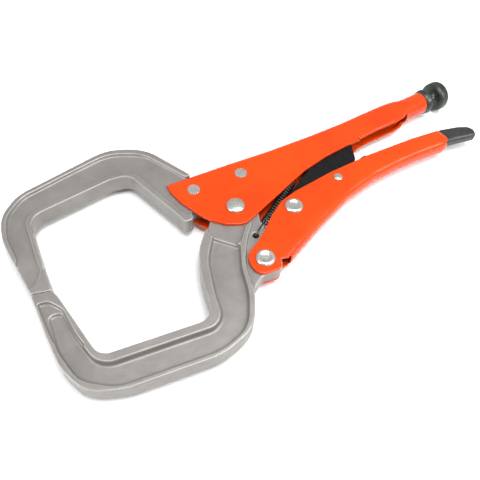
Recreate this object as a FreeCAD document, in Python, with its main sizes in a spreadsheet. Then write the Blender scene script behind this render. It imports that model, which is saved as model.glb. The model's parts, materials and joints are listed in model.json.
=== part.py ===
"""Locking pliers with deep C jaws, as an assembly of separate pieces.

Millimetres. While the pieces are drawn, the main pivot is at the origin, the
tool lies in the XY plane with its handles towards +X, and z = 0 is the middle
plane. At the end every piece's Placement moves the tool so that the origin is
at the bottom centre of its bounding box and +Z is up.
"""
import FreeCAD, Part
import Sketcher
import math
import os

Vector = FreeCAD.Vector
document = FreeCAD.newDocument("LockingPliers")

# ---------------------------------------------------------------- dimensions
DIMENSIONS = {
    # overall sizes
    "throat_reach": 124.0,      # front arms' inner face to the main pivot, along X
    "lower_depth": 95.2,        # lower jaw's bottom edge below the main pivot
    "upper_height": 76.0,       # upper jaw's top edge above the main pivot
    "handle_reach": 175.0,      # lower handle's rear end, along X
    # sheet metal
    "body_width": 13.0,         # outside width of both folded channels
    "sheet": 2.2,               # sheet thickness
    "body_fold_radius": 5.0,    # outside radius along the body's folded edge
    "handle_fold_radius": 5.6,  # outside radius along the handle's folded edge
    # cast jaws
    "jaw_width": 12.8,          # rim to rim thickness of the jaws
    "web_width": 5.2,           # thickness left at the bottom of the recesses
    "draft": 15.0,              # slope of the recess walls, in degrees
    "side_play": 0.1,           # gap between a tang and each channel wall
    # pivots and fasteners
    "running_play": 0.05,       # radial play of everything that turns
    "main_shank": 8.0,
    "main_head": 12.4,
    "main_head_height": 2.6,
    "flush_rivet": 8.6,
    "flush_proud": 0.15,
    "handle_shank": 7.0,
    "handle_head": 12.4,
    "handle_head_height": 1.9,
    "lever_shank": 4.0,
    "lever_head": 6.3,
    "lever_head_height": 1.3,
    # adjusting screw
    "channel_growth": 1.0,      # how much wider the rear channel gets towards its middle
    "lip_step": 0.2,            # slot between the rear lips, beyond the inner gap
    "tube_outside": 17.3,
    "thread_size": 10.0,
    "tip_play": 0.4,            # gap between the screw's plain tip and the sheet around it
    "collar_size": 20.2,
    "collar_length": 5.0,
    "neck_size": 10.0,
    "neck_length": 8.6,
    "knob_size": 23.2,
    "knob_length": 9.2,
    "hex_socket": 6.0,          # across flats
    "socket_depth": 5.0,
    "nose_gap": 4.3,            # clearance at the open pivot of the linkage
    # spring
    "coil_outside": 6.8,
    "wire": 1.2,
    "anchor_pin": 3.2,
    "spring_eye": 4.4,
    "coil_start": 14.8,         # from the jaw's eye to the first coil
    "coil_end": 8.6,            # from the last coil to the anchor pin
    "lever_edge": 3.0,          # rounding along the release lever's edges
}

sheet = document.addObject("Spreadsheet::Sheet", "dims")
for row, (name, value) in enumerate(DIMENSIONS.items(), 1):
    sheet.set(f"A{row}", name)
    sheet.set(f"B{row}", str(value))
    sheet.setAlias(f"B{row}", name)
document.recompute()


def size(name):
    """A driving dimension as the sheet holds it."""
    return float(sheet.get(name))


# ------------------------------------------------------------- pivot centres
MAIN = Vector(0, 0, 0)
FRONT_RIVET = Vector(-21.2, 23.1, 0)
REAR_RIVET = Vector(14.7, 26.8, 0)
HANDLE_PIVOT = Vector(1.7, -45.3, 0)
LINK_PIVOT = Vector(36.6, -13.3, 0)
LEVER_PIVOT = Vector(77.7, 0.3, 0)
SPRING_EYE = Vector(3.9, -25.4, 0)
SPRING_ANCHOR = Vector(54.5, 17.4, 0)

# The screw's axis: a point on it, and its direction.
SCREW_POINT = Vector(183.0, 55.9, 0)
SCREW_TILT = math.degrees(math.atan(0.2))
SCREW_AXIS = Vector(math.cos(math.radians(SCREW_TILT)), math.sin(math.radians(SCREW_TILT)), 0)

HALF_BODY = size("body_width") / 2
HALF_GAP = HALF_BODY - size("sheet")
HALF_TANG = HALF_GAP - size("side_play")
HALF_JAW = size("jaw_width") / 2


# ------------------------------------------------- shifting outlines by sizes
def jaw_point(x, y):
    """A jaw outline point, moved with the jaws' reach, depth and height."""
    front = size("throat_reach") - 124.0
    down = size("lower_depth") - 95.2
    up = size("upper_height") - 76.0
    if x < -60:
        x -= front * min(1.0, (-60 - x) / 40.0)
    if y < -60:
        y -= down
    elif y > 38:
        y += up * min(1.0, (y - 38) / 6.0)
    return x, y


def handle_point(x, y):
    """A handle outline point, moved with the handles' length."""
    extra = size("handle_reach") - 175.0
    if x > 110:
        x += extra * min(1.0, (x - 110) / 30.0)
    return x, y


# ---------------------------------------------------------------- small tools
def rounded_outline(points, level=0.0):
    """Closed run of lines with a tangent arc of radius r at each (x, y, r)."""
    corners = []
    count = len(points)
    for i, (x, y, radius) in enumerate(points):
        here = Vector(x, y, level)
        before = Vector(points[i - 1][0], points[i - 1][1], level)
        after = Vector(points[(i + 1) % count][0], points[(i + 1) % count][1], level)
        back = (before - here).normalize()
        ahead = (after - here).normalize()
        half = back.getAngle(ahead) / 2
        reach = 0.0
        if radius > 0 and half < math.radians(89.5):
            room = 0.48 * min(before.distanceToPoint(here), after.distanceToPoint(here))
            reach = min(radius / math.tan(half), room)
        if reach < 1e-3:
            corners.append((here, here, here))
            continue
        radius = reach * math.tan(half)
        middle = (back + ahead).normalize()
        near = here + middle * (radius / math.sin(half) - radius)
        corners.append((here + back * reach, near, here + ahead * reach))
    edges = []
    for i in range(count):
        start, near, end = corners[i]
        if start.distanceToPoint(end) > 1e-6:
            edges.append(Part.Arc(start, near, end))
        following = corners[(i + 1) % count][0]
        if end.distanceToPoint(following) > 1e-6:
            edges.append(Part.LineSegment(end, following))
    return edges


def new_body(label):
    """An empty PartDesign body that will be one piece of the tool."""
    body = document.addObject("PartDesign::Body", label)
    body.Label = label
    return body


def flat_sketch(body, name, geometry, level=0.0):
    """A sketch on the body's XY plane, raised to a level."""
    sketch = body.newObject("Sketcher::SketchObject", name)
    plane = next(f for f in body.Origin.OriginFeatures if f.Role == "XY_Plane")
    sketch.AttachmentSupport = [(plane, "")]
    sketch.MapMode = "FlatFace"
    sketch.AttachmentOffset = FreeCAD.Placement(Vector(0, 0, level), FreeCAD.Rotation())
    for piece in geometry:
        sketch.addGeometry(piece, False)
    return sketch


def circle_sketch(body, name, centre, diameter_rule, level=0.0):
    """A sketch of one circle whose diameter follows an expression."""
    sketch = flat_sketch(body, name, [Part.Circle(centre, Vector(0, 0, 1), 3.0)], level)
    sketch.addConstraint(Sketcher.Constraint("Diameter", 0, 6.0))
    sketch.addConstraint(Sketcher.Constraint("DistanceX", 0, 3, centre.x))
    sketch.addConstraint(Sketcher.Constraint("DistanceY", 0, 3, centre.y))
    sketch.setExpression("Constraints[0]", diameter_rule)
    return sketch


def pad(body, sketch, length_rule, symmetric=True):
    """Pad a sketch, to both sides of its plane unless told otherwise."""
    feature = body.newObject("PartDesign::Pad", "Pad_" + sketch.Name)
    feature.Profile = sketch
    feature.Midplane = symmetric
    feature.setExpression("Length", length_rule)
    sketch.Visibility = False
    document.recompute()
    return feature


def pocket(body, sketch, length_rule, symmetric=True, reverse=False, taper=0.0):
    """Cut a sketch out of the body and make sure that it removed something."""
    before = body.Shape.Volume
    feature = body.newObject("PartDesign::Pocket", "Pocket_" + sketch.Name)
    feature.Profile = sketch
    feature.Midplane = symmetric
    feature.Reversed = reverse
    feature.setExpression("Length", length_rule)
    if taper:
        feature.TaperAngle = taper
    document.recompute()
    if not body.Shape.Volume < before - 1e-3:
        raise RuntimeError("nothing was cut by " + feature.Name)
    return feature


def drill(body, name, centre, diameter_rule):
    """A hole right through along Z."""
    return pocket(body, circle_sketch(body, name, centre, diameter_rule), "4 * dims.body_width")


def fillet_edges(body, radius_rule, chosen):
    """Round the edges of the body's tip that the test picks."""
    base = body.Tip
    names = []
    for i, edge in enumerate(base.Shape.Edges, 1):
        if chosen(edge):
            names.append(f"Edge{i}")
    feature = body.newObject("PartDesign::Fillet", "Fillet_" + base.Name)
    feature.Base = (base, names)
    feature.setExpression("Radius", radius_rule)
    document.recompute()
    return feature


def turned_body(label, profile, origin, direction):
    """A turned piece: (distance along, radius) points revolved about an axis."""
    body = new_body(label)
    sketch = body.newObject("Sketcher::SketchObject", label + "_profile")
    plane = next(f for f in body.Origin.OriginFeatures if f.Role == "XY_Plane")
    sketch.AttachmentSupport = [(plane, "")]
    sketch.MapMode = "FlatFace"
    for piece in rounded_outline(profile):
        sketch.addGeometry(piece, False)
    turn = body.newObject("PartDesign::Revolution", label + "_turn")
    turn.Profile = sketch
    turn.ReferenceAxis = (sketch, ["H_Axis"])
    turn.Angle = 360.0
    body.Placement = FreeCAD.Placement(origin, FreeCAD.Rotation(Vector(1, 0, 0), direction))
    document.recompute()
    return body


UP = Vector(0, 0, 1)


def station(x):
    """The point of the screw's axis above a given x."""
    return SCREW_POINT + SCREW_AXIS * ((x - SCREW_POINT.x) / SCREW_AXIS.x)



# ------------------------------------------------------------------ the body
BODY_TOP = [(-18.0, 37.4), (10, 40.3), (40, 42.8), (80, 47.8), (112, 52.9)]
BODY_LOWER = [(112, 28.9), (100, 27.1), (80, 22.2), (60, 15.1), (40, 4.8), (20, -5.8), (8, -12.2)]
BODY_FRONT = [(0, -15.9), (-11.4, -12.0), (-19.4, -5.4), (-25.3, 1.8), (-32.6, 15.0), (-36.5, 26.0),
              (-37.2, 34.2)]
THREAD_COVER = size("thread_size") + 2 * size("sheet")
CHANNEL_STATIONS = [
    # x, width, rise above the axis, drop below it, upper and lower corner radius
    (111.0, size("body_width"), 11.2, 11.6, 5.0, 3.0),
    (128.0, size("body_width") + size("channel_growth"), 11.2, 11.3, 5.5, 4.0),
    (148.0, THREAD_COVER + 0.8 * size("channel_growth"), 10.7, 12.0, 5.6, 5.0),
    (157.0, THREAD_COVER + 1.6 * size("channel_growth"), 10.0, 11.4, 5.8, 6.6),
    (162.0, THREAD_COVER + 1.8 * size("channel_growth"), 9.4, 9.4, 6.4, 7.8),
]
TUBE_START = 166.0
TUBE_END = 186.0
LIP_START = 117.0
LIP_END = 164.0


def body_x(x):
    """A station of the body's rear, moved with the handles' length."""
    return handle_point(x, 0)[0]


def cross_section(x, width, rise, fall, upper_radius, lower_radius):
    """A rounded section square to the screw's axis."""
    half = width / 2
    corners = [(-half, -fall, lower_radius), (half, -fall, lower_radius),
               (half, rise, upper_radius), (-half, rise, upper_radius)]
    shapes = [g.toShape() for g in rounded_outline(corners)]
    wire = Part.Wire(Part.__sortEdges__(shapes))
    # section x goes to tool z, section y to the direction square to the axis
    across = Vector(0, 0, 1)
    upward = Vector(-SCREW_AXIS.y, SCREW_AXIS.x, 0)
    centre = station(x)
    matrix = FreeCAD.Matrix(across.x, upward.x, SCREW_AXIS.x, centre.x,
                            across.y, upward.y, SCREW_AXIS.y, centre.y,
                            across.z, upward.z, SCREW_AXIS.z, centre.z,
                            0, 0, 0, 1)
    return wire.transformGeometry(matrix)


def rear_shell(inset):
    """The rear channel and its run into the tube, as one loft."""
    wires = []
    for x, width, rise, fall, upper, lower in CHANNEL_STATIONS:
        wires.append(cross_section(body_x(x), width - 2 * inset, rise - inset, fall - inset,
                                   max(upper - inset, 0.5), max(lower - inset, 0.5)))
    tube = size("tube_outside") / 2 - inset
    for x in (body_x(TUBE_START), body_x(TUBE_START) + 2.5):
        wires.append(cross_section(x, 2 * tube, tube, tube, 0.94 * tube, 0.94 * tube))
    return Part.makeLoft(wires, True, True)


def make_upper_body():
    """The orange folded body: front plates, roof, rolled channel and tube."""
    width = size("body_width")
    outline = [(x, y, 30) for x, y in BODY_TOP] + [(x, y, 25) for x, y in BODY_LOWER]
    outline += [(x, y, 14) for x, y in BODY_FRONT[:-1]] + [(*BODY_FRONT[-1], 1.2), (-20.0, 35.9, 0)]
    outline[0] = (*BODY_TOP[0], 0)
    outline[4] = (*BODY_TOP[-1], 0)
    outline[5] = (*BODY_LOWER[0], 0)
    front_wire = Part.Wire([g.toShape() for g in rounded_outline(outline, -HALF_BODY)])
    front = Part.Face(front_wire).extrude(Vector(0, 0, width))
    folded = []
    for edge in front.Edges:
        box = edge.BoundBox
        on_roof = box.YMin > 37.0 and box.XMin > -17.5 and box.XMax < 112.5
        flat = abs(abs(box.ZMin) - HALF_BODY) < 1e-4 and box.ZLength < 1e-4
        if on_roof and flat:
            folded.append(edge)
    front = front.makeFillet(size("body_fold_radius"), folded)
    roof = [(x, y - size("sheet"), 30) for x, y in BODY_TOP]
    roof[0] = (BODY_TOP[0][0] - 1.0, BODY_TOP[0][1] - size("sheet"), 0)
    roof[-1] = (BODY_TOP[-1][0] + 1.0, BODY_TOP[-1][1] - size("sheet"), 0)
    inner = roof + [(113, 20, 0), (60, -40, 0), (-60, -40, 0), (-60, 45, 0), (-19.0, 45, 0)]
    inner_wire = Part.Wire([g.toShape() for g in rounded_outline(inner, -HALF_GAP)])
    inside = Part.Face(inner_wire).extrude(Vector(0, 0, 2 * HALF_GAP))
    softened = []
    for edge in inside.Edges:
        box = edge.BoundBox
        if box.YMin > 33.5 and box.YMax < 52 and box.XMin > -18.9 and box.ZLength < 1e-4 and box.XLength > 0.2:
            softened.append(edge)
    inside = inside.makeFillet(size("body_fold_radius") - size("sheet"), softened)
    front = front.cut(inside)
    rear = rear_shell(0.0).cut(rear_shell(size("sheet")))
    slot_half = HALF_GAP
    lip_half = HALF_GAP + size("lip_step")
    drop = Vector(SCREW_AXIS.y, -SCREW_AXIS.x, 0)
    for x_from, x_to, half in ((108.0, LIP_START, slot_half), (LIP_START, LIP_END, lip_half)):
        start = station(body_x(x_from))
        cutter = Part.makeBox(body_x(x_to) - body_x(x_from), 20, 2 * half, Vector(0, 0, -half))
        turn = FreeCAD.Rotation(Vector(1, 0, 0), SCREW_AXIS)
        cutter.Placement = FreeCAD.Placement(start + drop * 24, turn)
        rear = rear.cut(cutter)
    tube_length = (TUBE_END - TUBE_START) / SCREW_AXIS.x
    tube_from = station(body_x(TUBE_START))
    tube = Part.makeCylinder(size("tube_outside") / 2, tube_length, tube_from, SCREW_AXIS)
    bore = Part.makeCylinder(size("tube_outside") / 2 - size("sheet"), tube_length + 4,
                             tube_from - SCREW_AXIS * 2, SCREW_AXIS)
    whole = front.fuse([rear, tube]).cut(bore)
    for centre, hole in ((FRONT_RIVET, size("flush_rivet")), (REAR_RIVET, size("flush_rivet")),
                         (MAIN, size("main_shank"))):
        whole = whole.cut(Part.makeCylinder(hole / 2, 40, centre - UP * 20, UP))
    feature = document.addObject("Part::Feature", "upper_body")
    feature.Label = "upper_body"
    feature.Shape = whole.removeSplitter()
    return feature


# ---------------------------------------------------------------- lower jaw
LOWER_OUTER = [(-135.4, -21.8, 1.0), (-131.8, -50, 60), (-128.4, -72, 30), (-118.8, -90.0, 22),
               (-98, -95.2, 30), (-45, -95.2, 40), (-22.6, -86.2, 24), (-13.8, -66, 40)]
LOWER_CREST = [(-11.6, -44, 40), (-2.8, -27, 60), (5.6, -15.6, 0.8), (1.6, -16.7, 0.8)]
LOWER_INNER = [(-25.6, -11.6, 1.5), (-34.8, -25.0, 40), (-39.6, -43, 40), (-42.6, -72.4, 9),
               (-107.6, -72.4, 9), (-114.6, -49, 60), (-121.0, -28, 4), (-123.2, -23.4, 1.0)]
LOWER_WEB = [(-129.7, -37.4, 3.8), (-127.9, -62, 40), (-120.8, -82.0, 18), (-103, -92.5, 24),
             (-44, -92.4, 36), (-25.2, -84.6, 22), (-16.8, -64, 40), (-14.2, -46, 40),
             (-8.6, -30.0, 1.6), (-22.8, -17.6, 1.6), (-32.2, -34, 40), (-36.2, -58, 40),
             (-37.8, -77.8, 11), (-108.9, -77.8, 13), (-116.8, -56, 60), (-121.0, -37.4, 3.8)]
LOWER_TIP_RECESS = [(-133.0, -29.2, 0.8), (-127.0, -29.0, 8), (-120.0, -37.0, 10), (-116.6, -54, 60),
                    (-113.0, -64, 1), (-126.0, -64, 1), (-129.4, -54, 40), (-131.3, -42, 60)]
LOWER_SHELF = [(-24.8, -13.2), (-21.6, -20.6), (-12.0, -29.4), (-7.0, -27.0), (2.2, -14.6), (-10.0, 0.0)]


def moved(points):
    """Jaw outline points with the overall sizes applied."""
    return [(*jaw_point(x, y), r) for x, y, r in points]


def raised_arm(body, name, outline):
    """The full-thickness arm of a jaw."""
    return pad(body, flat_sketch(body, name, rounded_outline(outline)), "dims.jaw_width")


TANG_RULE = "dims.body_width - 2 * dims.sheet - 2 * dims.side_play"
WEB_DEPTH = "(dims.jaw_width - dims.web_width) / 2"
TANG_DEPTH = "(dims.jaw_width - dims.body_width) / 2 + dims.sheet + dims.side_play"


def recess(body, name, outline, depth):
    """A recess with sloping walls on each face of a jaw."""
    for side, level in (("top", HALF_JAW), ("bottom", -HALF_JAW)):
        sketch = flat_sketch(body, name + "_" + side, rounded_outline(outline), level)
        cut = pocket(body, sketch, depth, False, side == "bottom")
        cut.setExpression("TaperAngle", "-dims.draft")
    document.recompute()


def make_lower_jaw():
    """Cast lower jaw: C arm, hub round the main pivot, lug for the handle."""
    body = new_body("lower_jaw")
    raised_arm(body, "lower_arm", moved(LOWER_OUTER) + LOWER_CREST + moved(LOWER_INNER))
    # the shelf beside the body plates is at tang thickness
    shelf = rounded_outline([(x, y, 1.0) for x, y in LOWER_SHELF])
    for side, level in (("top", HALF_JAW), ("bottom", -HALF_JAW)):
        sketch = flat_sketch(body, "shelf_" + side, shelf, level)
        pocket(body, sketch, TANG_DEPTH, False, side == "bottom")
    hub = size("main_shank") / 2 + 11.0
    lug = size("handle_shank") / 2 + 6.6
    tang = [(-24.6, -12.2, 1.0), (-14.6, 3.0, 4), (-10.5, 10.5, hub), (0, 17.2, hub), (10.5, 10.5, hub),
            (15.6, 0, hub), (12.0, -12.6, 10), (9.7, -22, 5), (8.2, -30.5, 6),
            (HANDLE_PIVOT.x + lug, -38, 6), (HANDLE_PIVOT.x + lug, HANDLE_PIVOT.y - lug, lug),
            (HANDLE_PIVOT.x - 6, HANDLE_PIVOT.y - lug, 6), (-14.0, -63, 3), (-24, -60, 0), (-28, -30, 0)]
    pad(body, flat_sketch(body, "tang", rounded_outline(tang)), TANG_RULE)
    recess(body, "lower_tip_recess", moved(LOWER_TIP_RECESS), TANG_DEPTH)
    recess(body, "lower_web", moved(LOWER_WEB), WEB_DEPTH)
    drill(body, "main_bore", MAIN, "dims.main_shank + 2 * dims.running_play")
    drill(body, "handle_bore", HANDLE_PIVOT, "dims.handle_shank + 2 * dims.running_play")
    drill(body, "spring_eye", SPRING_EYE, "dims.spring_eye")
    return body


# ---------------------------------------------------------------- upper jaw
UPPER_OUTER = [(-135.4, -21.5, 1.0), (-140.6, 1, 80), (-145.6, 24, 50), (-144.0, 42.6, 26),
               (-131.4, 57.2, 26), (-100, 68.2, 80), (-66.6, 80.2, 34), (-41.0, 71.6, 32), (-18.9, 37.6, 0.4)]
UPPER_SHOULDER = [(-20.1, 36.5, 0.3), (-38.2, 35.0, 0.6), (-37.6, 26.2, 20), (-33.6, 14.4, 40),
                  (-28.8, 5.4, 2), (-29.2, -0.6, 3), (-35.4, -1.6, 3)]
UPPER_INNER = [(-38.4, 6.8, 60), (-58.6, 50.6, 8), (-72, 50.6, 10), (-127.6, 35.6, 11),
               (-125.6, 2, 80), (-123.2, -23.1, 1.0)]
UPPER_WEB = [(-139.8, -19.2, 0), (-141.6, -2, 0), (-139.2, 6, 4), (-142.8, 24, 40), (-140.9, 41, 20),
             (-129.4, 54.4, 20), (-100, 64.8, 60), (-67, 75.6, 28), (-43.8, 67.6, 26), (-22.3, 36.2, 1.0),
             (-21.5, 33, 0), (-26, 6, 0), (-31.6, 3.6, 1.0), (-35.6, 9.6, 6), (-54.2, 51.4, 8),
             (-72, 54.4, 12),
             (-130.6, 38.4, 12), (-128.4, 2, 60), (-127.2, -7, 6), (-131.5, -16.5, 6)]
UPPER_TANG = [(-45.0, 40.0, 0), (-34.0, 10, 3), (-27.0, 6.0, 2), (-16.6, 5.4, 3), (-12.3, 12.4, 16),
              (0, 19.0, 16),
              (13, 13.6, 16), (22.5, 18.2, 5), (25.6, 33.4, 5), (-15.0, 30.4, 2), (-19.9, 30.8, 1),
              (-22.6, 36.4, 0)]


def make_upper_jaw():
    """Cast upper jaw: C arm and a flat tang riveted between the body plates."""
    body = new_body("upper_jaw")
    raised_arm(body, "upper_arm", moved(UPPER_OUTER) + UPPER_SHOULDER + moved(UPPER_INNER))
    pad(body, flat_sketch(body, "upper_tang", rounded_outline(UPPER_TANG)), TANG_RULE)
    recess(body, "upper_web", moved(UPPER_WEB), TANG_DEPTH)
    drill(body, "front_bore", FRONT_RIVET, "dims.flush_rivet")
    drill(body, "rear_bore", REAR_RIVET, "dims.flush_rivet")
    return body


# -------------------------------------------------------------- lower handle
FOLD_FRONT = 15.2
HANDLE_TOP = [(-6.8, -38.0, 9), (2.0, -32.0, 6), (9.8, -25.3, 20), (20, -14.7, 20), (31, -5.9, 20),
              (44, -1.0, 30), (75, 6.7, 60), (110, 12.7, 80), (150, 17.0, 60), (178.4, 18.2, 0)]
HANDLE_BACK = [(180.9, 8.2, 4), (174.4, 4.0, 12), (150, 1.9, 60), (128, -1.3, 60), (106, -6.0, 40),
               (80, -15.0, 40), (50, -30.5, 60), (FOLD_FRONT, -50.9, 0)]
EAR = [(FOLD_FRONT, -43, 0), (FOLD_FRONT, -48.6, 0), (10.3, -48.6, 1.4), (9.3, -54.9, 4),
       (-6.2, -55.8, 8.4), (-9.2, -44.8, 11)]


def make_lower_handle():
    """The orange folded lever: two ears at its front, a rounded back."""
    body = new_body("lower_handle")
    folded = [(FOLD_FRONT, -24, 0)] + HANDLE_TOP[3:] + HANDLE_BACK
    folded = [(*handle_point(x, y), r) for x, y, r in folded]
    pad(body, flat_sketch(body, "handle_side", rounded_outline(folded)), "dims.body_width")
    fold_at = [Vector(*handle_point(x, y), 0) for x, y, r in HANDLE_BACK[2:-1]]

    def on_back(edge):
        """One of the flat side faces' edges that runs along the folded back."""
        box = edge.BoundBox
        if box.ZLength > 1e-4:
            return False
        near = Vector(0, 0, box.ZMin)
        return any(edge.distToShape(Part.Vertex(point + near))[0] < 1.5 for point in fold_at)
    fillet_edges(body, "dims.handle_fold_radius", on_back)
    ears = HANDLE_TOP[:4] + [(31, -5.9, 0), (31, -20, 0)] + EAR
    pad(body, flat_sketch(body, "handle_ears", rounded_outline(ears)), "dims.body_width")
    floor = [(*handle_point(x, y + size("sheet")), r) for x, y, r in HANDLE_BACK[2:-1]]
    end_x = handle_point(190, 0)[0]
    inner = [(FOLD_FRONT + 3.2, -60, 0), (FOLD_FRONT + 3.2, -46.7, 0), (50, -27.9, 60)] + floor[::-1][1:]
    inner += [(end_x, HANDLE_BACK[1][1] + size("sheet") + 1.1, 0), (end_x, 40, 0), (-30, 40, 0), (-30, -60, 0)]
    pocket(body, flat_sketch(body, "handle_inside", rounded_outline(inner)),
           "dims.body_width - 2 * dims.sheet")
    drill(body, "ear_bore", HANDLE_PIVOT, "dims.handle_shank")
    drill(body, "link_bore", LINK_PIVOT, "dims.handle_shank")
    drill(body, "lever_bore", LEVER_PIVOT, "dims.lever_shank")
    return body


# -------------------------------------------------------------------- rivets
def rivet(label, centre, shank_name, head_name, height_name, kind):
    """A rivet with a head on each face: domed, or bevelled with a dimple."""
    half = HALF_BODY
    shank = size(shank_name) / 2
    head = size(head_name) / 2
    rise = size(height_name)
    if kind == "domed":
        end = [(half + 0.35 * rise, head, 0.3), (half + 0.85 * rise, 0.72 * head, 2.0), (half + rise, 0, 0)]
    else:
        end = [(half + 0.45 * rise, head, 0.3), (half + rise, 0.78 * head, 0.3),
               (half + rise, 0.58 * head, 0.2), (half + 0.72 * rise, 0.50 * head, 0.2),
               (half + 0.72 * rise, 0, 0)]
    start = [(-x, y, r) for x, y, r in end][::-1]
    profile = start + [(-half, head, 0), (-half, shank, 0), (half, shank, 0), (half, head, 0)] + end
    return turned_body(label, profile, centre, UP)


def flush_rivet(label, centre):
    """A plain rivet whose ends stand just proud of the plates."""
    radius = size("flush_rivet") / 2
    half = HALF_BODY + size("flush_proud")
    profile = [(-half, 0, 0), (-half, radius, 0.12), (half, radius, 0.12), (half, 0, 0)]
    return turned_body(label, profile, centre, UP)


# --------------------------------------------------------------- toggle link
NOSE = Vector(106.5, 40.7, 0)
NOSE_RADIUS = 3.6


def make_toggle_link():
    """The black link from the handle to the adjusting screw's tip."""
    body = new_body("toggle_link")
    eye = size("handle_shank") / 2 + 4.6
    x = LINK_PIVOT.x
    y = LINK_PIVOT.y
    outline = [(x - eye, y - 3.0, eye), (x - 5.0, y - eye, eye), (x + 5.5, y - eye + 0.6, 7), (63, -2.6, 12),
               (74.5, 8.0, 5), (97.5, 10.6, 2), (100.4, 14.4, 2), (105.3, 28.6, 12),
               (NOSE.x + NOSE_RADIUS + 0.6, NOSE.y - NOSE_RADIUS, NOSE_RADIUS),
               (NOSE.x + 2.6, NOSE.y + NOSE_RADIUS + 0.6, NOSE_RADIUS),
               (98, 41.6, 8), (70, 22.0, 20), (x - 3.4, y + eye - 0.4, 7), (x - eye, y + 4.4, 6)]
    pad(body, flat_sketch(body, "link_side", rounded_outline(outline)),
        "dims.body_width - 2 * dims.sheet - 4 * dims.side_play")
    drill(body, "link_eye", LINK_PIVOT, "dims.handle_shank + 2 * dims.running_play")
    return body


# ------------------------------------------------------------- release lever
def make_release_lever():
    """The black lever inside the handle, with its tail past the end."""
    body = new_body("release_lever")
    eye = size("lever_shank") / 2 + 3.6
    x = LEVER_PIVOT.x
    y = LEVER_PIVOT.y
    upper = [(x - 3.0, y + eye, eye), (x + 5, y + eye - 0.4, 5), (104.0, 9.0, 2), (105.6, 15.6, 1.6),
             (110.4, 16.4, 1.6), (112.6, 12.4, 2)]
    rear = [(150, 16.6, 40), (168, 19.6, 20), (181, 21.3, 20), (195, 19.9, 20), (203.6, 17.6, 5),
            (207.4, 12.2, 5), (204.8, 6.4, 3), (184, 7.4, 30), (172, 7.2, 30), (150, 5.1, 40), (128, 2.0, 40)]
    lower = [(101, -4.2, 30), (88, -6.6, 20), (x - 3.0, y - eye, eye)]
    outline = upper + [(*handle_point(px, py), r) for px, py, r in rear] + lower + [(x - eye, y, eye)]
    pad(body, flat_sketch(body, "lever_side", rounded_outline(outline)),
        "dims.body_width - 2 * dims.sheet - 4 * dims.side_play")
    tail_from = handle_point(176.5, 0)[0]

    def on_tail(edge):
        box = edge.BoundBox
        return box.ZLength < 1e-4 and box.XMin > tail_from
    fillet_edges(body, "dims.lever_edge", on_tail)
    drill(body, "lever_eye", LEVER_PIVOT, "dims.lever_shank + 2 * dims.running_play")
    return body


# ----------------------------------------------------------- adjusting screw
def along_screw(x):
    """Distance along the screw's axis of the station above x."""
    return (x - SCREW_POINT.x) / SCREW_AXIS.x


def make_screw_bush():
    """Threaded sleeve fixed in the rolled tube."""
    outside = size("tube_outside") / 2 - size("sheet")
    inside = size("thread_size") / 2 + size("running_play")
    start = along_screw(body_x(TUBE_START)) + 0.5
    end = along_screw(body_x(TUBE_END)) - 0.4
    profile = [(start, inside, 0), (end, inside, 0), (end, outside, 0.4), (start, outside, 0.4)]
    return turned_body("screw_bush", profile, SCREW_POINT, SCREW_AXIS)


def make_adjusting_screw():
    """Threaded shank with a plain tip, from the link's nose to the collar."""
    nose_x = NOSE.x + (NOSE_RADIUS + size("nose_gap")) * SCREW_AXIS.x
    tip = HALF_GAP - size("tip_play") / 2
    thread = size("thread_size") / 2
    start = along_screw(nose_x)
    step = along_screw(body_x(146.0))
    end = along_screw(body_x(TUBE_END)) + 0.5
    profile = [(start, 0, 0), (start, tip, 1.4), (step, tip, 0), (step + 0.8, thread, 0),
               (end, thread, 0), (end, 0, 0)]
    return turned_body("adjusting_screw", profile, SCREW_POINT, SCREW_AXIS)


def make_adjusting_knob():
    """Collar, neck and knurled disc, with a hexagon socket in the end."""
    collar = size("collar_size") / 2
    neck = size("neck_size") / 2
    knob = size("knob_size") / 2
    start = along_screw(body_x(TUBE_END)) + 0.5
    collar_end = start + size("collar_length")
    disc_from = collar_end + size("neck_length")
    disc_to = disc_from + size("knob_length")
    profile = [(start, 0, 0), (start, collar - 1.0, 0.5), (collar_end - 1.0, collar, 0.8),
               (collar_end, collar - 1.2, 1.0), (collar_end + 1.2, neck, 1.0), (disc_from - 1.4, neck, 1.2),
               (disc_from, knob - 1.4, 1.0), (disc_from + 1.6, knob, 1.2), (disc_to - 1.8, knob, 1.4),
               (disc_to, knob - 2.6, 1.2), (disc_to, 0, 0)]
    body = turned_body("adjusting_knob", profile, SCREW_POINT, SCREW_AXIS)
    socket = body.newObject("Sketcher::SketchObject", "hex_socket")
    plane = next(f for f in body.Origin.OriginFeatures if f.Role == "YZ_Plane")
    socket.AttachmentSupport = [(plane, "")]
    socket.MapMode = "FlatFace"
    socket.AttachmentOffset = FreeCAD.Placement(Vector(0, 0, disc_to), FreeCAD.Rotation())
    corner = size("hex_socket") / 2 / math.cos(math.radians(30))
    points = [(corner * math.cos(math.radians(60 * i)), corner * math.sin(math.radians(60 * i)), 0)
              for i in range(6)]
    for piece in rounded_outline(points):
        socket.addGeometry(piece, False)
    document.recompute()
    pocket(body, socket, "dims.socket_depth", False)
    return body


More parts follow.
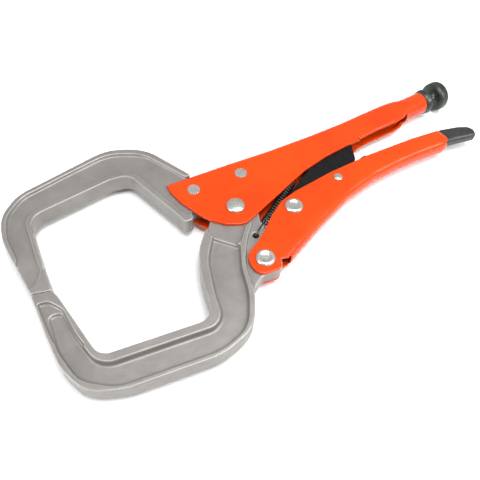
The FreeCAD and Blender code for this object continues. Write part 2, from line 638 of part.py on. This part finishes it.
# -------------------------------------------------------------------- spring
def make_spring():
    """Close-wound tension spring: coil barrel with a hook at each end."""
    wire = size("wire") / 2
    mean = size("coil_outside") / 2 - wire
    run = SPRING_ANCHOR - SPRING_EYE
    direction = Vector(run).normalize()
    first = size("coil_start")
    last = run.Length - size("coil_end")
    turns = int((last - first) / (2 * wire * 1.02))
    pitch = (last - first) / turns
    rings = []
    for i in range(turns):
        middle = SPRING_EYE + direction * (first + (i + 0.5) * pitch)
        rings.append(Part.makeTorus(mean, wire * 1.04, middle, direction))
    tube_from = SPRING_EYE + direction * (first + wire)
    tube = Part.makeCylinder(mean + 0.2, last - first - 2 * wire, tube_from, direction)
    hollow = Part.makeCylinder(mean - 0.2, last - first, SPRING_EYE + direction * first, direction)
    coil = tube.cut(hollow).fuse(rings)
    side = UP.cross(direction)

    def bent_wire(points):
        """Straight runs of wire with a ball in each bend."""
        runs = []
        for start, end in zip(points, points[1:]):
            runs.append(Part.makeCylinder(wire, start.distanceToPoint(end), start, end - start))
            runs.append(Part.makeSphere(wire, end))
        return runs
    # the front hook lies on the lug and drops into the eye
    over = HALF_TANG + wire + 0.15
    leaves = SPRING_EYE + direction * (first - 3) + UP * over
    front = bent_wire([tube_from + UP * mean, leaves, SPRING_EYE + UP * over, SPRING_EYE - UP * 2.5])
    # the rear hook is a ring round the anchor pin
    radius = size("anchor_pin") / 2 + wire + 0.2
    ring = Part.makeTorus(radius, wire, SPRING_ANCHOR, UP)
    rear = bent_wire([SPRING_ANCHOR - direction * radius, SPRING_EYE + direction * (last - 1.5 * wire)])
    bar = Part.makeCylinder(wire, 2 * mean, SPRING_EYE + direction * (last - 1.5 * wire) - side * mean, side)
    feature = document.addObject("Part::Feature", "tension_spring")
    feature.Label = "tension_spring"
    feature.Shape = coil.fuse(front + [ring, bar] + rear)
    return feature


def make_anchor_pin():
    """Pin between the body plates that holds the spring's rear hook."""
    radius = size("anchor_pin") / 2
    profile = [(-HALF_GAP, 0, 0), (-HALF_GAP, radius, 0), (HALF_GAP, radius, 0), (HALF_GAP, 0, 0)]
    return turned_body("spring_anchor_pin", profile, SPRING_ANCHOR, UP)


# ------------------------------------------------------------------ assembly
pieces = [
    make_upper_body(),
    make_upper_jaw(),
    make_lower_jaw(),
    make_lower_handle(),
    make_toggle_link(),
    make_release_lever(),
    flush_rivet("jaw_rivet_front", FRONT_RIVET),
    flush_rivet("jaw_rivet_rear", REAR_RIVET),
    rivet("main_pivot_rivet", MAIN, "main_shank", "main_head", "main_head_height", "domed"),
    rivet("jaw_handle_rivet", HANDLE_PIVOT, "handle_shank", "handle_head", "handle_head_height", "dimpled"),
    rivet("link_rivet", LINK_PIVOT, "handle_shank", "handle_head", "handle_head_height", "dimpled"),
    rivet("release_lever_rivet", LEVER_PIVOT, "lever_shank", "lever_head", "lever_head_height", "domed"),
    make_screw_bush(),
    make_adjusting_screw(),
    make_adjusting_knob(),
    make_spring(),
    make_anchor_pin(),
]
document.recompute()

whole = FreeCAD.BoundBox()
for piece in pieces:
    whole.add(piece.Shape.optimalBoundingBox(False))
shift = Vector(-(whole.XMin + whole.XMax) / 2, -(whole.YMin + whole.YMax) / 2, -whole.ZMin)
for piece in pieces:
    piece.Placement = FreeCAD.Placement(shift, FreeCAD.Rotation()).multiply(piece.Placement)
document.recompute()

for item in document.Objects:
    if "Invalid" in item.State or "Error" in item.State:
        raise RuntimeError(f"{item.Label} failed: {item.State}")
for piece in pieces:
    if piece.Shape.isNull() or not piece.Shape.isValid():
        raise RuntimeError(piece.Label + " has no valid shape")

os.makedirs("parts", exist_ok=True)
for piece in pieces:
    shape = piece.Shape
    box = shape.optimalBoundingBox(False)
    print(f"{piece.Label:22s} solids {len(shape.Solids)} volume {shape.Volume:10.1f}"
          f" x {box.XMin:8.2f} {box.XMax:8.2f} y {box.YMin:8.2f} {box.YMax:8.2f}"
          f" z {box.ZMin:6.2f} {box.ZMax:6.2f}")
    shape.exportStep(f"parts/{piece.Label}.step")
print("shift", shift, "size", whole.XLength, whole.YLength, whole.ZLength)
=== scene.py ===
"""Locking pliers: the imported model's looks, camera and light. Metres."""
import bpy
import bmesh
import json
import math
from mathutils import Matrix, Vector


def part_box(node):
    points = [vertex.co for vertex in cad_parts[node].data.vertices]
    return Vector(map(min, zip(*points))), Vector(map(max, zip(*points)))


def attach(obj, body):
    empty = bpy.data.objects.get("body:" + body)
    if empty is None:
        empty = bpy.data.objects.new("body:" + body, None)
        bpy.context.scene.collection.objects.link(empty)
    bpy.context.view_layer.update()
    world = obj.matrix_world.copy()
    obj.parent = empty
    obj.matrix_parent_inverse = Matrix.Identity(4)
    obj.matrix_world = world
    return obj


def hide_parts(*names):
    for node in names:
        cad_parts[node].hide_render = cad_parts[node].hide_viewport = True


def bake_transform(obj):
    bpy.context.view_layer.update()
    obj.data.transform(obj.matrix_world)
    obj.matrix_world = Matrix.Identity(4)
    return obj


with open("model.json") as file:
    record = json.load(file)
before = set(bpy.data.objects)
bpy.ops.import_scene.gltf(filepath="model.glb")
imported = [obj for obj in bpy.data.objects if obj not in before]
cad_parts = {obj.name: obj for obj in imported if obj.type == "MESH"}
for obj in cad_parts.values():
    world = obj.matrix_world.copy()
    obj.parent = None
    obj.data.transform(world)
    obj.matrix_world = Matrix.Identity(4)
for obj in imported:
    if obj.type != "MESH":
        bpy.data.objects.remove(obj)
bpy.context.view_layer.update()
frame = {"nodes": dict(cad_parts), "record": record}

MM = 0.001
nodes = frame["nodes"]


def centre_of(node):
    """The middle of a CAD node's box."""
    low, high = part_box(node)
    return (Vector(low) + Vector(high)) / 2


# Places are measured from the main pivot, in millimetres, as on a drawing.
pivot = centre_of("main_pivot_rivet")


def place(x, y, z=0.0):
    """A point given in millimetres from the main pivot's middle."""
    return pivot + Vector((x, y, z)) * MM


# ------------------------------------------------------------------ materials
def new_material(name):
    """An empty node material and its Principled shader."""
    material = bpy.data.materials.new(name)
    material.use_nodes = True
    shader = next(n for n in material.node_tree.nodes if n.type == "BSDF_PRINCIPLED")
    return material, material.node_tree, shader


def noise(tree, scale, detail=4.0, roughness=0.5):
    """Noise in object space, in features per metre."""
    place_node = tree.nodes.new("ShaderNodeTexCoord")
    texture = tree.nodes.new("ShaderNodeTexNoise")
    texture.inputs["Scale"].default_value = scale
    texture.inputs["Detail"].default_value = detail
    texture.inputs["Roughness"].default_value = roughness
    tree.links.new(place_node.outputs["Object"], texture.inputs["Vector"])
    return texture.outputs["Fac"]


def ramp(tree, source, stops):
    """A colour ramp over a value; stops are (position, colour)."""
    node = tree.nodes.new("ShaderNodeValToRGB")
    elements = node.color_ramp.elements
    while len(elements) < len(stops):
        elements.new(0.5)
    for element, (position, colour) in zip(elements, stops):
        element.position = position
        element.color = (*colour, 1.0)
    tree.links.new(source, node.inputs["Fac"])
    return node.outputs["Color"]


def spread(tree, source, low, high, low_out, high_out):
    """A value mapped from one range to another."""
    node = tree.nodes.new("ShaderNodeMapRange")
    node.inputs["From Min"].default_value = low
    node.inputs["From Max"].default_value = high
    node.inputs["To Min"].default_value = low_out
    node.inputs["To Max"].default_value = high_out
    tree.links.new(source, node.inputs["Value"])
    return node.outputs["Result"]


def bump(tree, shader, layers):
    """Stacks (height, strength, distance) bumps onto the shader's normal."""
    previous = None
    for height, strength, distance in layers:
        node = tree.nodes.new("ShaderNodeBump")
        node.inputs["Strength"].default_value = strength
        node.inputs["Distance"].default_value = distance
        tree.links.new(height, node.inputs["Height"])
        if previous:
            tree.links.new(previous, node.inputs["Normal"])
        previous = node.outputs["Normal"]
    tree.links.new(previous, shader.inputs["Normal"])


def streaks(tree, scale, stretch):
    """Noise drawn out along one direction, for grinding marks and scratches."""
    place_node = tree.nodes.new("ShaderNodeTexCoord")
    mapping = tree.nodes.new("ShaderNodeMapping")
    mapping.inputs["Scale"].default_value = stretch
    texture = tree.nodes.new("ShaderNodeTexNoise")
    texture.inputs["Scale"].default_value = scale
    texture.inputs["Detail"].default_value = 3.0
    tree.links.new(place_node.outputs["Object"], mapping.inputs["Vector"])
    tree.links.new(mapping.outputs["Vector"], texture.inputs["Vector"])
    return texture.outputs["Fac"]


def ridges(tree):
    """How convex the surface is: about 0.5 where flat, more on an edge."""
    return tree.nodes.new("ShaderNodeNewGeometry").outputs["Pointiness"]


def mixed(tree, factor, first, second):
    """Two colours mixed by a factor."""
    node = tree.nodes.new("ShaderNodeMix")
    node.data_type = "RGBA"
    tree.links.new(factor, node.inputs["Factor"])
    for socket, colour in zip([i for i in node.inputs if i.type == "RGBA"], (first, second)):
        if isinstance(colour, tuple):
            socket.default_value = (*colour, 1.0)
        else:
            tree.links.new(colour, socket)
    return next(o for o in node.outputs if o.type == "RGBA")


def orange_paint():
    """Glossy orange coat with a faint orange-peel and slight tone changes."""
    material, tree, shader = new_material("orange_paint")
    tone = ramp(tree, noise(tree, 26, 3), [(0.35, (0.53, 0.037, 0.0006)), (0.65, (0.60, 0.048, 0.0008))])
    tree.links.new(tone, shader.inputs["Base Color"])
    tree.links.new(spread(tree, noise(tree, 160, 4), 0.35, 0.7, 0.22, 0.30), shader.inputs["Roughness"])
    shader.inputs["Specular IOR Level"].default_value = 0.32
    bump(tree, shader, [(noise(tree, 620, 2), 0.06, 0.0002), (noise(tree, 70, 2), 0.05, 0.0008)])
    return material


def cast_aluminium():
    """Satin cast metal: cloudy tone, fine grain, and a painted highlight that lightens the ridges."""
    material, tree, shader = new_material("cast_aluminium")
    tone = ramp(tree, noise(tree, 45, 6, 0.6), [(0.3, (0.190, 0.178, 0.168)), (0.7, (0.245, 0.231, 0.219))])
    # Painted highlight: convex ridges are mixed towards a lighter colour, standing in for the bright lines that
    # light draws along the rims.
    ridge_highlight = spread(tree, ridges(tree), 0.505, 0.56, 0.0, 1.0)
    colour = mixed(tree, ridge_highlight, tone, (0.40, 0.385, 0.36))
    tree.links.new(colour, shader.inputs["Base Color"])
    shader.inputs["Metallic"].default_value = 0.4
    tree.links.new(spread(tree, noise(tree, 260, 6), 0.3, 0.7, 0.36, 0.5), shader.inputs["Roughness"])
    bump(tree, shader, [(noise(tree, 2000, 3), 0.22, 0.00012), (noise(tree, 330, 4), 0.16, 0.0004),
                        (streaks(tree, 220, (1.0, 3.2, 2.0)), 0.12, 0.0003)])
    return material


def zinc_plate():
    """Bright zinc plating with a faint green and yellow cast."""
    material, tree, shader = new_material("zinc_plate")
    tone = ramp(tree, noise(tree, 240, 3),
                [(0.3, (0.50, 0.55, 0.44)), (0.5, (0.62, 0.63, 0.57)), (0.7, (0.62, 0.56, 0.60))])
    tree.links.new(tone, shader.inputs["Base Color"])
    shader.inputs["Metallic"].default_value = 0.9
    tree.links.new(spread(tree, noise(tree, 900, 5), 0.3, 0.7, 0.22, 0.38), shader.inputs["Roughness"])
    bump(tree, shader, [(noise(tree, 1500, 3), 0.12, 0.0002), (noise(tree, 420, 2), 0.2, 0.0004)])
    return material


def dark_oxide(name, dark, light, roughness, metallic, shine=0.5):
    """Blackened steel: a dark satin coat with lighter specks, made lighter still on convex edges."""
    material, tree, shader = new_material(name)
    tone = ramp(tree, noise(tree, 420, 6, 0.65), [(0.38, dark), (0.72, light)])
    # Lighter on convex edges: the colour is mixed towards a brighter copy of the light tone where the surface
    # is convex.
    lighter_edges = spread(tree, ridges(tree), 0.52, 0.6, 0.0, 0.6)
    colour = mixed(tree, lighter_edges, tone, tuple(min(1.0, 2.6 * value) for value in light))
    tree.links.new(colour, shader.inputs["Base Color"])
    shader.inputs["Metallic"].default_value = metallic
    shader.inputs["Specular IOR Level"].default_value = shine
    tree.links.new(spread(tree, noise(tree, 600, 5), 0.3, 0.7, roughness - 0.07, roughness + 0.08),
                   shader.inputs["Roughness"])
    bump(tree, shader, [(noise(tree, 1400, 4), 0.2, 0.0002),
                        (streaks(tree, 500, (0.2, 1.0, 1.0)), 0.1, 0.0002)])
    return material


MATERIALS = {
    "orange_paint": orange_paint(),
    "cast_aluminium": cast_aluminium(),
    "zinc_plate": zinc_plate(),
    # Partly the link's own black and partly painted shade: its colour is made near-black and dull to stand for
    # the shade under the plates.
    "black_link": dark_oxide("black_link", (0.003, 0.003, 0.0035), (0.009, 0.009, 0.010), 0.5, 0.0, 0.15),
    "black_lever": dark_oxide("black_lever", (0.022, 0.023, 0.023), (0.05, 0.052, 0.05), 0.38, 0.3),
    "plain_steel": dark_oxide("plain_steel", (0.25, 0.25, 0.25), (0.42, 0.42, 0.41), 0.4, 0.8),
    "black_screw": dark_oxide("black_screw", (0.016, 0.02, 0.016), (0.05, 0.058, 0.05), 0.34, 0.35),
    "spring_wire": dark_oxide("spring_wire", (0.01, 0.01, 0.011), (0.04, 0.038, 0.036), 0.3, 0.6),
}
SLOTS = {part["node"]: part["material_slot"] for part in frame["record"]["subparts"]}
BODIES = {node: body for body, members in frame["record"]["behaviour"]["bodies"].items() for node in members}


def finish_piece(obj, node):
    """Gives a new piece the material of its node's slot, puts it on its body (the spring is only baked in
    place), and hides the node that it stands for.
    """
    obj.data.materials.clear()
    obj.data.materials.append(MATERIALS[SLOTS[node]])
    obj.data.polygons.foreach_set("use_smooth", [True] * len(obj.data.polygons))
    if node == "tension_spring":
        # It stretches between its anchor in the body and the eye in the jaw's tail.
        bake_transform(obj)
    else:
        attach(obj, BODIES[node])
    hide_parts(node)
    return obj


for name, obj in nodes.items():
    obj.data.materials.clear()
    obj.data.materials.append(MATERIALS[SLOTS[name]])


# ---------------------------------------------------------------- rounding
def softened(node, voxel, passes, keep=1.0):
    """A copy of a CAD node whose edges are rounded as cast or painted edges are.

    The mesh is remeshed at a voxel size in millimetres, relaxed, and thinned.
    """
    grow = 100.0
    mesh = nodes[node].data.copy()
    mesh.transform(Matrix.Scale(grow, 4))
    source = bpy.data.objects.new(node + "_look", mesh)
    bpy.context.collection.objects.link(source)
    remesh = source.modifiers.new("remesh", "REMESH")
    remesh.mode = "VOXEL"
    remesh.voxel_size = voxel * MM * grow
    relax = source.modifiers.new("relax", "SMOOTH")
    relax.factor = 0.5
    relax.iterations = passes
    if keep < 1.0:
        thin = source.modifiers.new("thin", "DECIMATE")
        thin.ratio = keep
    depsgraph = bpy.context.evaluated_depsgraph_get()
    result = bpy.data.meshes.new_from_object(source.evaluated_get(depsgraph))
    result.transform(Matrix.Scale(1 / grow, 4))
    source.modifiers.clear()
    source.data = result
    return finish_piece(source, node)


for node, voxel, passes, keep in (("upper_jaw", 0.5, 7, 0.35), ("lower_jaw", 0.5, 7, 0.35),
                                  ("upper_body", 0.38, 2, 0.25), ("lower_handle", 0.38, 2, 0.3),
                                  ("release_lever", 0.5, 2, 0.5), ("toggle_link", 0.5, 3, 0.5)):
    softened(node, voxel, passes, keep)


# ------------------------------------------------- turned, coiled and threaded
def new_piece(name, vertices, faces, node):
    """A piece made of its own vertices and faces, standing for a node."""
    mesh = bpy.data.meshes.new(name)
    mesh.from_pydata(vertices, [], faces)
    mesh.update()
    obj = bpy.data.objects.new(name, mesh)
    bpy.context.collection.objects.link(obj)
    return finish_piece(obj, node)


def turned(name, profile, origin, axis, node, steps=64, shape=None):
    """A solid of revolution from (along, radius) pairs in millimetres.

    shape, if given, changes a radius by its place: shape(along, radius, angle).
    """
    axis = axis.normalized()
    side = axis.orthogonal().normalized()
    other = axis.cross(side)
    vertices = []
    for along, radius in profile:
        for k in range(steps):
            angle = 2 * math.pi * k / steps
            r = shape(along, radius, angle) if shape else radius
            outward = side * math.cos(angle) + other * math.sin(angle)
            vertices.append(origin + (axis * along + outward * r) * MM)
    faces = []
    for ring in range(len(profile) - 1):
        for k in range(steps):
            a = ring * steps + k
            b = ring * steps + (k + 1) % steps
            faces.append((a, b, b + steps, a + steps))
    faces.append(tuple(range(steps))[::-1])
    faces.append(tuple(range(len(vertices) - steps, len(vertices))))
    return new_piece(name, vertices, faces, node)


def swept(name, points, radius, node, sides=12):
    """A round wire through points in millimetres, as one tube."""
    path = [Vector(point) for point in points]
    vertices = []
    normal = None
    for i, point in enumerate(path):
        tangent = (path[min(i + 1, len(path) - 1)] - path[max(i - 1, 0)]).normalized()
        normal = tangent.orthogonal() if normal is None else normal - tangent * normal.dot(tangent)
        normal.normalize()
        across = tangent.cross(normal)
        for k in range(sides):
            angle = 2 * math.pi * k / sides
            vertices.append(place(*(point + (normal * math.cos(angle) + across * math.sin(angle)) * radius)))
    faces = []
    for ring in range(len(path) - 1):
        for k in range(sides):
            a = ring * sides + k
            b = ring * sides + (k + 1) % sides
            faces.append((a, b, b + sides, a + sides))
    faces.append(tuple(range(sides))[::-1])
    faces.append(tuple(range(len(vertices) - sides, len(vertices))))
    return new_piece(name, vertices, faces, node)


def spring_wire_path():
    """The wire's middle line: hook in the jaw's eye, coils, ring round the pin."""
    eye = Vector((3.9, -25.4, 0))
    anchor = Vector((54.5, 17.4, 0))
    run = (anchor - eye).normalized()
    length = (anchor - eye).length
    side = Vector((0, 0, 1)).cross(run)
    lift = Vector((0, 0, 1))
    mean = 2.8
    first = 15.4
    last = length - 9.2
    turns = 18
    points = [eye - lift * 2.3, eye + lift * 3.4, eye + run * 0.5 + lift * 4.5, eye + run * 1.6 + lift * 4.95]
    points += [eye + run * 9.0 + lift * 4.9, eye + run * 12.6 + lift * 3.6, eye + run * 14.4 + lift * 2.9]
    count = turns * 22
    for i in range(count + 1):
        angle = 2 * math.pi * i / 22
        along = first + (last - first) * i / count
        points.append(eye + run * along + lift * mean * math.cos(angle) + side * mean * math.sin(angle))
    points += [eye + run * (last + 1.2) + lift * 2.2, eye + run * (last + 2.6) + lift * 0.6]
    ring = 2.4
    for i in range(25):
        angle = math.pi + 2 * math.pi * 0.92 * i / 24
        points.append(anchor + (run * math.cos(angle) + side * math.sin(angle)) * ring)
    return points


swept("tension_spring_look", spring_wire_path(), 0.58, "tension_spring")

RISE = Vector((0, 0, 1))
HALF_WIDTH = 6.5


def rivet_look(node, head, rise, dimpled):
    """A headed rivet whose formed ends are rounded, with a dimple in one kind."""
    top = HALF_WIDTH + rise
    if dimpled:
        end = [(HALF_WIDTH, head), (HALF_WIDTH + 0.35 * rise, head), (top - 0.25 * rise, 0.93 * head),
               (top - 0.06 * rise, 0.83 * head), (top, 0.74 * head), (top - 0.03 * rise, 0.62 * head),
               (top - 0.18 * rise, 0.54 * head), (top - 0.30 * rise, 0.46 * head),
               (top - 0.33 * rise, 0.2 * head), (top - 0.33 * rise, 0.01)]
    else:
        end = [(HALF_WIDTH, head), (HALF_WIDTH + 0.26 * rise, head)]
        for i in range(1, 10):
            angle = math.pi / 2 * i / 9
            radius = max(0.01, head * math.cos(angle) ** 0.75)
            end.append((HALF_WIDTH + rise * (0.26 + 0.74 * math.sin(angle)), radius))
    shank = 0.6 * head
    profile = [(-along, radius) for along, radius in end[::-1]]
    profile += [(-HALF_WIDTH, shank), (HALF_WIDTH, shank)] + end
    turned(node + "_look", profile, centre_of(node), RISE, node, 72)


rivet_look("main_pivot_rivet", 6.2, 2.6, False)
rivet_look("jaw_handle_rivet", 6.2, 1.9, True)
rivet_look("link_rivet", 6.2, 1.9, True)
rivet_look("release_lever_rivet", 3.15, 1.3, False)

SCREW_SLOPE = math.atan(0.2)
SCREW_AXIS = Vector((math.cos(SCREW_SLOPE), math.sin(SCREW_SLOPE), 0))
TUBE_MOUTH = (183.0, 55.9)
THREAD_PITCH = 1.5
THREAD_DEPTH = 0.45


def screw_point(along):
    """A point of the screw's axis, in scene units, from a distance in millimetres."""
    return place(*TUBE_MOUTH) + SCREW_AXIS * along * MM


def thread_radius(along, radius, angle):
    """A thread cut into the full radius, leaving the thinner tip plain."""
    if radius < 4.9:
        return radius
    phase = (along / THREAD_PITCH - angle / (2 * math.pi)) % 1.0
    return radius - THREAD_DEPTH * abs(2 * phase - 1)


def screw_profile():
    """The adjusting screw's outline, fine enough for its thread."""
    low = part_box("adjusting_screw")[0]
    start = -(place(*TUBE_MOUTH).x - low[0]) / MM / SCREW_AXIS.x + 0.9
    step = (146.0 - TUBE_MOUTH[0]) / SCREW_AXIS.x
    end = 3.0 / SCREW_AXIS.x + 0.45
    profile = [(start, 0.01), (start, 2.9), (start + 0.5, 3.8), (start + 1.4, 4.08),
               (step, 4.08), (step + 0.5, 4.95)]
    count = int((end - step - 0.5) / 0.19)
    profile += [(step + 0.5 + (end - step - 0.5) * (i + 1) / count, 4.98) for i in range(count)]
    return profile + [(end, 0.01)]


turned("adjusting_screw_look", screw_profile(), screw_point(0), SCREW_AXIS,
       "adjusting_screw", 48, thread_radius)


def knob_radius(along, radius, angle):
    """Fine straight knurling round the disc's rim."""
    if radius < 11.0 or along < 17.6:
        return radius
    return radius - 0.16 * (1 - abs(math.sin(36 * angle)))


def knob_profile():
    """Collar, neck and disc, then down into the socket's mouth."""
    start = 3.0 / SCREW_AXIS.x + 0.5
    collar = start + 5.0
    disc = collar + 8.6
    end = disc + 9.2
    return [(start, 0.01), (start, 8.7), (start + 0.3, 9.0), (start + 1.8, 9.45), (collar - 1.3, 9.95),
            (collar - 0.7, 9.9), (collar - 0.2, 9.4), (collar + 0.1, 8.2), (collar + 0.7, 6.4),
            (collar + 1.6, 5.3), (collar + 2.8, 4.98), (disc - 2.0, 4.98), (disc - 1.0, 5.6),
            (disc - 0.4, 7.0), (disc + 0.1, 9.2),
            (disc + 0.5, 10.5), (disc + 1.0, 11.2), (disc + 1.8, 11.5), (disc + 4.0, 11.55), (end - 2.6, 11.55),
            (end - 1.6, 11.3), (end - 0.8, 10.6), (end - 0.25, 9.5), (end, 8.4), (end, 4.2), (end - 0.05, 3.6),
            (end - 0.5, 3.3), (end - 5.0, 3.25), (end - 5.0, 0.01)]


def socket_radius(along, radius, angle):
    """The knurling, and a hexagon where the profile is inside the socket."""
    if radius < 3.4 and along > 20.0:
        sixth = (angle + math.pi / 6) % (math.pi / 3) - math.pi / 6
        return radius / math.cos(sixth) * 0.92
    return knob_radius(along, radius, angle)


turned("adjusting_knob_look", knob_profile(), screw_point(0), SCREW_AXIS, "adjusting_knob", 144, socket_radius)


# ------------------------------------------------------------ floor and light
floor_mesh = bpy.data.meshes.new("floor")
reach = 3.0
floor_mesh.from_pydata([(-reach, -reach, 0), (reach, -reach, 0), (reach, reach, 0), (-reach, reach, 0)],
                       [], [(0, 1, 2, 3)])
floor = bpy.data.objects.new("floor", floor_mesh)
bpy.context.collection.objects.link(floor)
floor_material, floor_tree, floor_shader = new_material("pale_floor")
floor_shader.inputs["Base Color"].default_value = (0.9, 0.9, 0.9, 1)
floor_shader.inputs["Roughness"].default_value = 0.9
floor_mesh.materials.append(floor_material)

world = bpy.data.worlds.new("studio")
bpy.context.scene.world = world
world.use_nodes = True
background = next(n for n in world.node_tree.nodes if n.type == "BACKGROUND")
background.inputs["Color"].default_value = (1, 1, 1, 1)
background.inputs["Strength"].default_value = 0.5
bpy.context.scene.view_settings.view_transform = "Standard"


def area_light(name, position, target, width, height, power):
    """Adds a soft rectangular light aimed at a point, in millimetres from the pivot."""
    data = bpy.data.lights.new(name, "AREA")
    data.shape = "RECTANGLE"
    data.size = width * MM
    data.size_y = height * MM
    data.energy = power
    light = bpy.data.objects.new(name, data)
    bpy.context.collection.objects.link(light)
    light.location = place(*position)
    aim = place(*target) - light.location
    light.rotation_euler = aim.to_track_quat("-Z", "Y").to_euler()


area_light("overhead", (100, -160, 850), (0, 0, 0), 600, 450, 9)
area_light("fold", (560, -480, 520), (60, 0, 0), 420, 260, 5)
area_light("left", (-600, -60, 260), (-20, 0, 0), 200, 500, 2.5)

# --------------------------------------------------------------------- camera
EYE = (-93.7, -203.0, 269.3)
FORWARD = Vector((0.2620, 0.5371, -0.8018))
ROLL = math.radians(4.75)
TOOL_TURN = math.radians(26)
camera_data = bpy.data.cameras.new("camera")
camera_data.lens = 39.0
camera_data.sensor_width = 36.0
camera = bpy.data.objects.new("camera", camera_data)
bpy.context.collection.objects.link(camera)
level_right = Vector((math.cos(TOOL_TURN), -math.sin(TOOL_TURN), 0))
level_up = level_right.cross(FORWARD)
right = level_right * math.cos(ROLL) + level_up * math.sin(ROLL)
up = right.cross(FORWARD)
camera.matrix_world = Matrix((
    (right.x, up.x, -FORWARD.x, place(*EYE).x),
    (right.y, up.y, -FORWARD.y, place(*EYE).y),
    (right.z, up.z, -FORWARD.z, place(*EYE).z),
    (0, 0, 0, 1)))
bpy.context.scene.camera = camera
